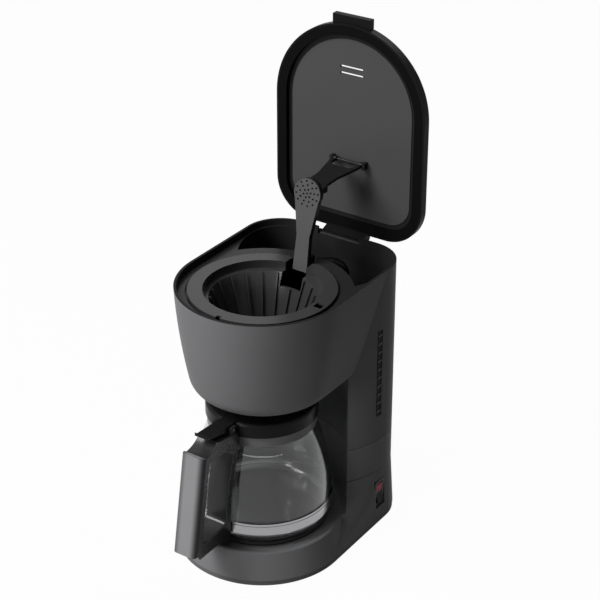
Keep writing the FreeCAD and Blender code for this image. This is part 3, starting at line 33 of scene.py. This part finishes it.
# From the back of the lid's liner to the face of its panel, and the tolerance on that depth
PANEL_FACE = 0.0028
PANEL_EDGE = 0.0004

# Share of the grip's width that is plain grey, before painted shade fades it to black at its rounded
# edges, standing in for the shading of their rounding
GRIP_UNSHADED_SHARE = 0.45

# Depth of the lid's grey outer face
LID_FACE = 0.001

# Height of the black top edge of the rim, and depth below it to which the wall inside is black
RIM_EDGE = 0.0002
DECK_DROP = 0.011

# Share of the rocker's height that is black, below the red
ROCKER_FOLD = 0.6

# The range that noise mostly keeps to
NOISE_LOW = 0.3
NOISE_HIGH = 0.7

# Studio: width of the floor in metres, its grey, how far it glows white, and the light from all around
FLOOR_SIZE = 6.0
FLOOR_GREY = 0.3
FLOOR_GLOW = 0.97
AMBIENT = 0.02


def direction(azimuth, elevation):
    """Unit vector from the machine towards a place seen at that azimuth and elevation."""
    turn, rise = math.radians(azimuth), math.radians(elevation)
    return Vector((math.sin(turn) * math.cos(rise), -math.cos(turn) * math.cos(rise), math.sin(rise)))


def look_at(thing, place, target):
    thing.location = place
    thing.rotation_euler = (target - place).to_track_quat("-Z", "Y").to_euler()


def add_camera():
    data = bpy.data.cameras.new("photo_camera")
    data.lens = LENS
    data.sensor_width = SENSOR
    camera = bpy.data.objects.new("photo_camera", data)
    bpy.context.scene.collection.objects.link(camera)
    look_at(camera, AIM + DISTANCE * direction(AZIMUTH, ELEVATION), AIM)
    bpy.context.scene.camera = camera


def add_softbox(name, azimuth, elevation, distance, size, power):
    data = bpy.data.lights.new(name, "AREA")
    data.shape = "RECTANGLE"
    data.size, data.size_y = size
    data.energy = power
    lamp = bpy.data.objects.new(name, data)
    bpy.context.scene.collection.objects.link(lamp)
    look_at(lamp, AIM + distance * direction(azimuth, elevation), AIM)


# Shader helpers

class Shader:
    """A principled material whose colour, gloss and relief vary in the object's own space."""

    def __init__(self, name):
        self.material = bpy.data.materials.new(name)
        self.material.use_nodes = True
        self.tree = self.material.node_tree
        self.surface = self.tree.nodes["Principled BSDF"]
        self.coordinates = self.tree.nodes.new("ShaderNodeTexCoord")

    def link(self, source, target):
        self.tree.links.new(source, target)

    def noise(self, scale, detail=3.0, stretch=None):
        texture = self.tree.nodes.new("ShaderNodeTexNoise")
        texture.inputs["Scale"].default_value = scale
        texture.inputs["Detail"].default_value = detail
        source = self.coordinates.outputs["Object"]
        if stretch is not None:
            mapping = self.tree.nodes.new("ShaderNodeMapping")
            mapping.inputs["Scale"].default_value = stretch
            self.link(source, mapping.inputs["Vector"])
            source = mapping.outputs["Vector"]
        self.link(source, texture.inputs["Vector"])
        return texture.outputs["Fac"]

    def spread(self, factor, low, high):
        """Map a noise onto a range of values."""
        remap = self.tree.nodes.new("ShaderNodeMapRange")
        remap.inputs["From Min"].default_value = NOISE_LOW
        remap.inputs["From Max"].default_value = NOISE_HIGH
        remap.inputs["To Min"].default_value = low
        remap.inputs["To Max"].default_value = high
        self.link(factor, remap.inputs["Value"])
        return remap.outputs["Result"]

    def tint(self, factor, first, second):
        mix = self.tree.nodes.new("ShaderNodeMix")
        mix.data_type = "RGBA"
        mix.inputs[6].default_value = (*first, 1.0)
        mix.inputs[7].default_value = (*second, 1.0)
        self.link(factor, mix.inputs[0])
        return mix.outputs[2]

    def color(self, source):
        self.link(source, self.surface.inputs["Base Color"])

    def gloss(self, factor, low, high):
        self.link(self.spread(factor, low, high), self.surface.inputs["Roughness"])

    def relief(self, factor, depth, strength=0.5):
        bump = self.tree.nodes.new("ShaderNodeBump")
        bump.inputs["Distance"].default_value = depth
        bump.inputs["Strength"].default_value = strength
        self.link(factor, bump.inputs["Height"])
        self.link(bump.outputs["Normal"], self.surface.inputs["Normal"])

    def math(self, operation, first, second=0.0):
        """One operation on one or two values, each a plain number or another node's output."""
        step = self.tree.nodes.new("ShaderNodeMath")
        step.operation = operation
        for socket, value in zip(step.inputs, (first, second)):
            if isinstance(value, float):
                socket.default_value = value
            else:
                self.link(value, socket)
        return step.outputs["Value"]

    def coordinate(self, axis):
        split = self.tree.nodes.new("ShaderNodeSeparateXYZ")
        self.link(self.coordinates.outputs["Object"], split.inputs["Vector"])
        return split.outputs[axis]

    def above(self, axis, level):
        """One where the object's own coordinate is higher than a level, and nothing elsewhere."""
        return self.math("GREATER_THAN", self.coordinate(axis), level)

    def facing(self, middle):
        """One where the surface faces an upright line through a place, and nothing where it faces away."""
        offset = self.tree.nodes.new("ShaderNodeVectorMath")
        offset.operation = "SUBTRACT"
        offset.inputs[1].default_value = middle
        self.link(self.coordinates.outputs["Object"], offset.inputs[0])
        flat = self.tree.nodes.new("ShaderNodeVectorMath")
        flat.operation = "MULTIPLY"
        flat.inputs[1].default_value = (1.0, 1.0, 0.0)
        self.link(offset.outputs["Vector"], flat.inputs[0])
        along = self.tree.nodes.new("ShaderNodeVectorMath")
        along.operation = "DOT_PRODUCT"
        self.link(flat.outputs["Vector"], along.inputs[0])
        self.link(self.coordinates.outputs["Normal"], along.inputs[1])
        return self.math("LESS_THAN", along.outputs["Value"], 0.0)

    def put(self, **values):
        """Set sockets of the shader that are the same all over the surface."""
        for label, value in values.items():
            self.surface.inputs[label.replace("_", " ")].default_value = value


def reach(name):
    """Lowest and highest corner of a node's mesh in its own space."""
    places = [vertex.co for vertex in nodes[name].data.vertices]
    return [Vector([limit(place[axis] for place in places) for axis in range(3)]) for limit in (min, max)]


def shade(value):
    return (value, value, value * 1.03)


def plastic(name, light, gloss, shine=0.25, grain=1400.0, depth=0.00008):
    """Moulded plastic: a fine spark-eroded grain and a slow drift in tone."""
    shader = Shader(name)
    shader.put(Specular_IOR_Level=shine)
    drift = shader.noise(14.0, 2.0)
    fine = shader.noise(grain, 2.0)
    shader.tone = shader.tint(drift, shade(light * 0.94), shade(light * 1.06))
    shader.color(shader.tone)
    shader.gloss(fine, gloss - 0.05, gloss + 0.05)
    shader.relief(fine, depth)
    return shader


def two_tone(shader, mask, dark):
    """Keep the shader's tone where the mask is one, and use a dark tone where it is nothing."""
    mix = shader.tree.nodes.new("ShaderNodeMix")
    mix.data_type = "RGBA"
    shader.link(mask, mix.inputs[0])
    mix.inputs[6].default_value = (*shade(dark), 1.0)
    shader.link(shader.tone, mix.inputs[7])
    shader.color(mix.outputs[2])


def housing_plastic():
    """Body plastic outside. The rim and the wall inside it, above the deck, are black."""
    shader = plastic("housing_plastic", light=0.085, gloss=0.45, shine=0.02)
    low, high = reach("upper_housing")
    rim = shader.above("Z", high.z - RIM_EDGE)
    inwards = shader.facing(Vector((0.0, (low.y + high.y) / 2, 0.0)))
    inside = shader.math("MULTIPLY", inwards, shader.above("Z", high.z - DECK_DROP))
    black = shader.math("MAXIMUM", rim, inside)
    two_tone(shader, shader.math("SUBTRACT", 1.0, black), dark=0.01)
    return shader


def liner_plastic():
    """Grey panel in a black groove, with black lugs in front of it."""
    shader = plastic("liner_plastic", light=0.034, gloss=0.42, shine=0.06)
    high = reach("lid_liner")[1]
    behind_lugs = shader.above("Y", high.y - PANEL_FACE - PANEL_EDGE)
    behind_panel = shader.above("Y", high.y - PANEL_FACE + PANEL_EDGE)
    two_tone(shader, shader.math("SUBTRACT", behind_lugs, behind_panel), dark=0.008)
    return shader


def grip_painted_shade_plastic():
    """Grey face of the grip, with painted shade that fades it to black at its rounded edges, standing in
    for their shading.
    """
    shader = plastic("grip_painted_shade_plastic", light=0.13, gloss=0.36, shine=0.1)
    high = reach("handle_grip")[1]
    off_centre = shader.math("ABSOLUTE", shader.coordinate("X"))
    from_edge = shader.math("SUBTRACT", high.x, off_centre)
    # Painted shade: the tone fades to black from the plain middle out to each edge
    grey = shader.math("DIVIDE", from_edge, high.x * (1.0 - GRIP_UNSHADED_SHARE))
    two_tone(shader, shader.math("MINIMUM", grey, 1.0), dark=0.012)
    return shader


def lid_plastic():
    """Black rim with a dark grey outer face."""
    shader = plastic("lid_plastic", light=0.03, gloss=0.36, shine=0.03)
    high = reach("lid_cover")[1]
    two_tone(shader, shader.above("Y", high.y - LID_FACE), dark=0.004)
    return shader


def rubber():
    shader = Shader("rubber")
    fine = shader.noise(900.0, 4.0)
    shader.color(shader.tint(fine, shade(0.001), shade(0.003)))
    shader.gloss(fine, 0.62, 0.78)
    shader.put(Specular_IOR_Level=0.02)
    shader.relief(fine, 0.0001)
    return shader


def brushed_steel(name, light, stretch):
    shader = Shader(name)
    grain = shader.noise(220.0, 3.0, stretch)
    shader.color(shader.tint(grain, shade(light * 0.95), shade(light)))
    shader.gloss(grain, 0.16, 0.26)
    shader.put(Metallic=1.0)
    return shader


def aluminium():
    shader = Shader("aluminium")
    cast = shader.noise(420.0, 4.0)
    shader.color(shader.tint(cast, shade(0.55), shade(0.66)))
    shader.gloss(cast, 0.34, 0.5)
    shader.relief(cast, 0.0001)
    shader.put(Metallic=1.0)
    return shader


def shade_tinted_glass():
    """Glass with a faintly uneven wall, tinted grey as painted shade that darkens all that is seen through
    the clear carafe.
    """
    shader = Shader("carafe_glass")
    wave = shader.noise(18.0, 1.0)
    # The grey tint is painted shade, not a colour of the glass
    shader.color(shader.tint(wave, (0.67, 0.68, 0.68), (0.69, 0.7, 0.7)))
    shader.gloss(wave, 0.0, 0.015)
    shader.relief(wave, 0.0003, 0.15)
    shader.put(IOR=1.47, Transmission_Weight=1.0)
    return shader


def level_window():
    """Dark slots between the pale bars of the scale, which stand proud of the window."""
    high = reach("level_window")[1]
    shader = Shader("level_window")
    bar = shader.above("X", high.x - BAR_RISE / 2)
    shader.color(shader.tint(bar, shade(0.004), shade(0.16)))
    shader.gloss(shader.noise(60.0, 2.0), 0.5, 0.6)
    shader.put(Specular_IOR_Level=0.03)
    return shader


def rocker_red():
    """Red on the upper part of the rocker, black below the fold."""
    low, high = reach("switch_rocker")
    shader = Shader("rocker_red")
    upper = shader.above("Z", low.z + (high.z - low.z) * ROCKER_FOLD)
    shader.color(shader.tint(upper, (0.02, 0.02, 0.022), (0.4, 0.05, 0.08)))
    shader.gloss(shader.noise(300.0), 0.22, 0.32)
    shader.put(Specular_IOR_Level=0.03)
    return shader


def woven_sleeve():
    shader = Shader("fuse_sleeve")
    weave = shader.noise(700.0, 2.0, (1.0, 4.0, 1.0))
    shader.color(shader.tint(weave, (0.55, 0.52, 0.44), (0.78, 0.75, 0.66)))
    shader.gloss(weave, 0.7, 0.9)
    shader.relief(weave, 0.0002)
    return shader


def dress(shader, *names):
    for name in names:
        mesh = nodes[name].data
        mesh.materials.clear()
        mesh.materials.append(shader.material)


def dress_housing():
    dress(housing_plastic(), "upper_housing")
    # The lower housing is lighter than the same body plastic on the upper housing: painted light for the
    # base front, which faces up towards the lamps
    dress(plastic("body_plastic", light=0.1, gloss=0.43, shine=0.02), "lower_housing")
    dress(plastic("tray_plastic", light=0.075, gloss=0.43, shine=0.02), "bottom_tray")
    dress(plastic("plate_coat", light=0.02, gloss=0.5, shine=0.08, grain=700.0), "hot_plate")
    dress(level_window(), "level_window")
    dress(rocker_red(), "switch_rocker")


def dress_lid_and_arm():
    dress(lid_plastic(), "lid_cover")
    dress(liner_plastic(), "lid_liner")
    link_plastic = plastic("link_plastic", light=0.006, gloss=0.32, shine=0.06)
    dress(link_plastic, "lift_link", "spray_arm", "cord_inlet")
    pin_plastic = plastic("pin_plastic", light=0.008, gloss=0.3, shine=0.06)
    dress(pin_plastic, "lid_link_pin", "arm_link_pin", "arm_pivot_pin")
    dress(plastic("arm_plastic", light=0.044, gloss=0.4, shine=0.08), "spray_plate")


def dress_brewer():
    deck_plastic = plastic("deck_plastic", light=0.01, gloss=0.24, shine=0.12)
    dress(deck_plastic, "tank_insert", "drip_plunger")
    dress(plastic("basket_plastic", light=0.019, gloss=0.24, shine=0.25), "filter_basket")


def dress_carafe():
    dress(shade_tinted_glass(), "carafe_glass")
    dress(brushed_steel("band_steel", light=0.33, stretch=(0.02, 0.02, 1.0)), "carafe_band")
    dress(plastic("collar_plastic", light=0.08, gloss=0.35, shine=0.1), "carafe_collar")
    dress(plastic("handle_plastic", light=0.012, gloss=0.26, shine=0.24), "carafe_handle")
    dress(grip_painted_shade_plastic(), "handle_grip")


def dress_small_parts():
    black_plastic = plastic("black_plastic", light=0.006, gloss=0.28, shine=0.06)
    dress(black_plastic, "carafe_lid", "switch_frame", "riser_tube", "tank_outlet")
    soft_rubber = rubber()
    dress(soft_rubber, "lid_seal", "plate_seal", "drip_seal", "rubber_feet")
    dress(soft_rubber, "inlet_hose", "riser_hose", "riser_grommet")
    pin_steel = brushed_steel("pin_steel", light=0.6, stretch=(0.1, 1.0, 1.0))
    dress(pin_steel, "lid_hinge_pin", "carafe_lid_pin", "tray_screws", "bracket_screws")
    dress(pin_steel, "element_bracket", "hose_clamps", "thermostat")
    dress(aluminium(), "heating_element")
    dress(woven_sleeve(), "thermal_fuses")


# White studio

def seen_white(tree, plain, white):
    """A shader that lights the machine plainly, but is white to the camera, in metal and through glass."""
    path = tree.nodes.new("ShaderNodeLightPath")
    seen = path.outputs["Is Camera Ray"]
    for kind in ("Is Glossy Ray", "Is Transmission Ray"):
        either = tree.nodes.new("ShaderNodeMath")
        either.operation = "MAXIMUM"
        tree.links.new(seen, either.inputs[0])
        tree.links.new(path.outputs[kind], either.inputs[1])
        seen = either.outputs["Value"]
    mix = tree.nodes.new("ShaderNodeMixShader")
    tree.links.new(seen, mix.inputs["Fac"])
    tree.links.new(plain, mix.inputs[1])
    tree.links.new(white, mix.inputs[2])
    return mix.outputs["Shader"]


def add_world():
    world = bpy.data.worlds.new("studio")
    bpy.context.scene.world = world
    world.use_nodes = True
    tree = world.node_tree
    plain = tree.nodes["Background"]
    plain.inputs["Color"].default_value = (1.0, 1.0, 1.0, 1.0)
    plain.inputs["Strength"].default_value = AMBIENT
    white = tree.nodes.new("ShaderNodeBackground")
    white.inputs["Color"].default_value = (1.0, 1.0, 1.0, 1.0)
    both = seen_white(tree, plain.outputs["Background"], white.outputs["Background"])
    tree.links.new(both, tree.nodes["World Output"].inputs["Surface"])


def add_floor():
    bpy.ops.mesh.primitive_plane_add(size=FLOOR_SIZE)
    floor = bpy.context.object
    floor.name = "floor"
    material = bpy.data.materials.new("floor")
    material.use_nodes = True
    tree = material.node_tree
    surface = tree.nodes["Principled BSDF"]
    surface.inputs["Base Color"].default_value = (FLOOR_GREY, FLOOR_GREY, FLOOR_GREY, 1.0)
    surface.inputs["Roughness"].default_value = 0.8
    glow = tree.nodes.new("ShaderNodeEmission")
    veil = tree.nodes.new("ShaderNodeMixShader")
    veil.inputs["Fac"].default_value = FLOOR_GLOW
    tree.links.new(surface.outputs["BSDF"], veil.inputs[1])
    tree.links.new(glow.outputs["Emission"], veil.inputs[2])
    both = seen_white(tree, surface.outputs["BSDF"], veil.outputs["Shader"])
    tree.links.new(both, tree.nodes["Material Output"].inputs["Surface"])
    floor.data.materials.append(material)


def add_light():
    add_softbox("key", -36.0, 46.0, 2.2, (0.9, 1.2), 94.0)
    add_softbox("front", -8.0, 12.0, 2.6, (0.5, 1.0), 34.0)
    add_softbox("top", 0.0, 80.0, 2.0, (1.0, 1.0), 10.0)
    add_softbox("strip_low", 34.0, 4.0, 2.0, (3.0, 0.015), 0.7)
    add_softbox("strip_high", 34.0, 15.0, 2.0, (3.0, 0.015), 0.7)
    add_softbox("rear", 180.0, 40.0, 2.2, (1.0, 1.0), 12.0)


dress_housing()
dress_lid_and_arm()
dress_brewer()
dress_carafe()
dress_small_parts()
add_world()
add_floor()
add_light()
add_camera()
bpy.context.scene.view_settings.view_transform = "Standard"
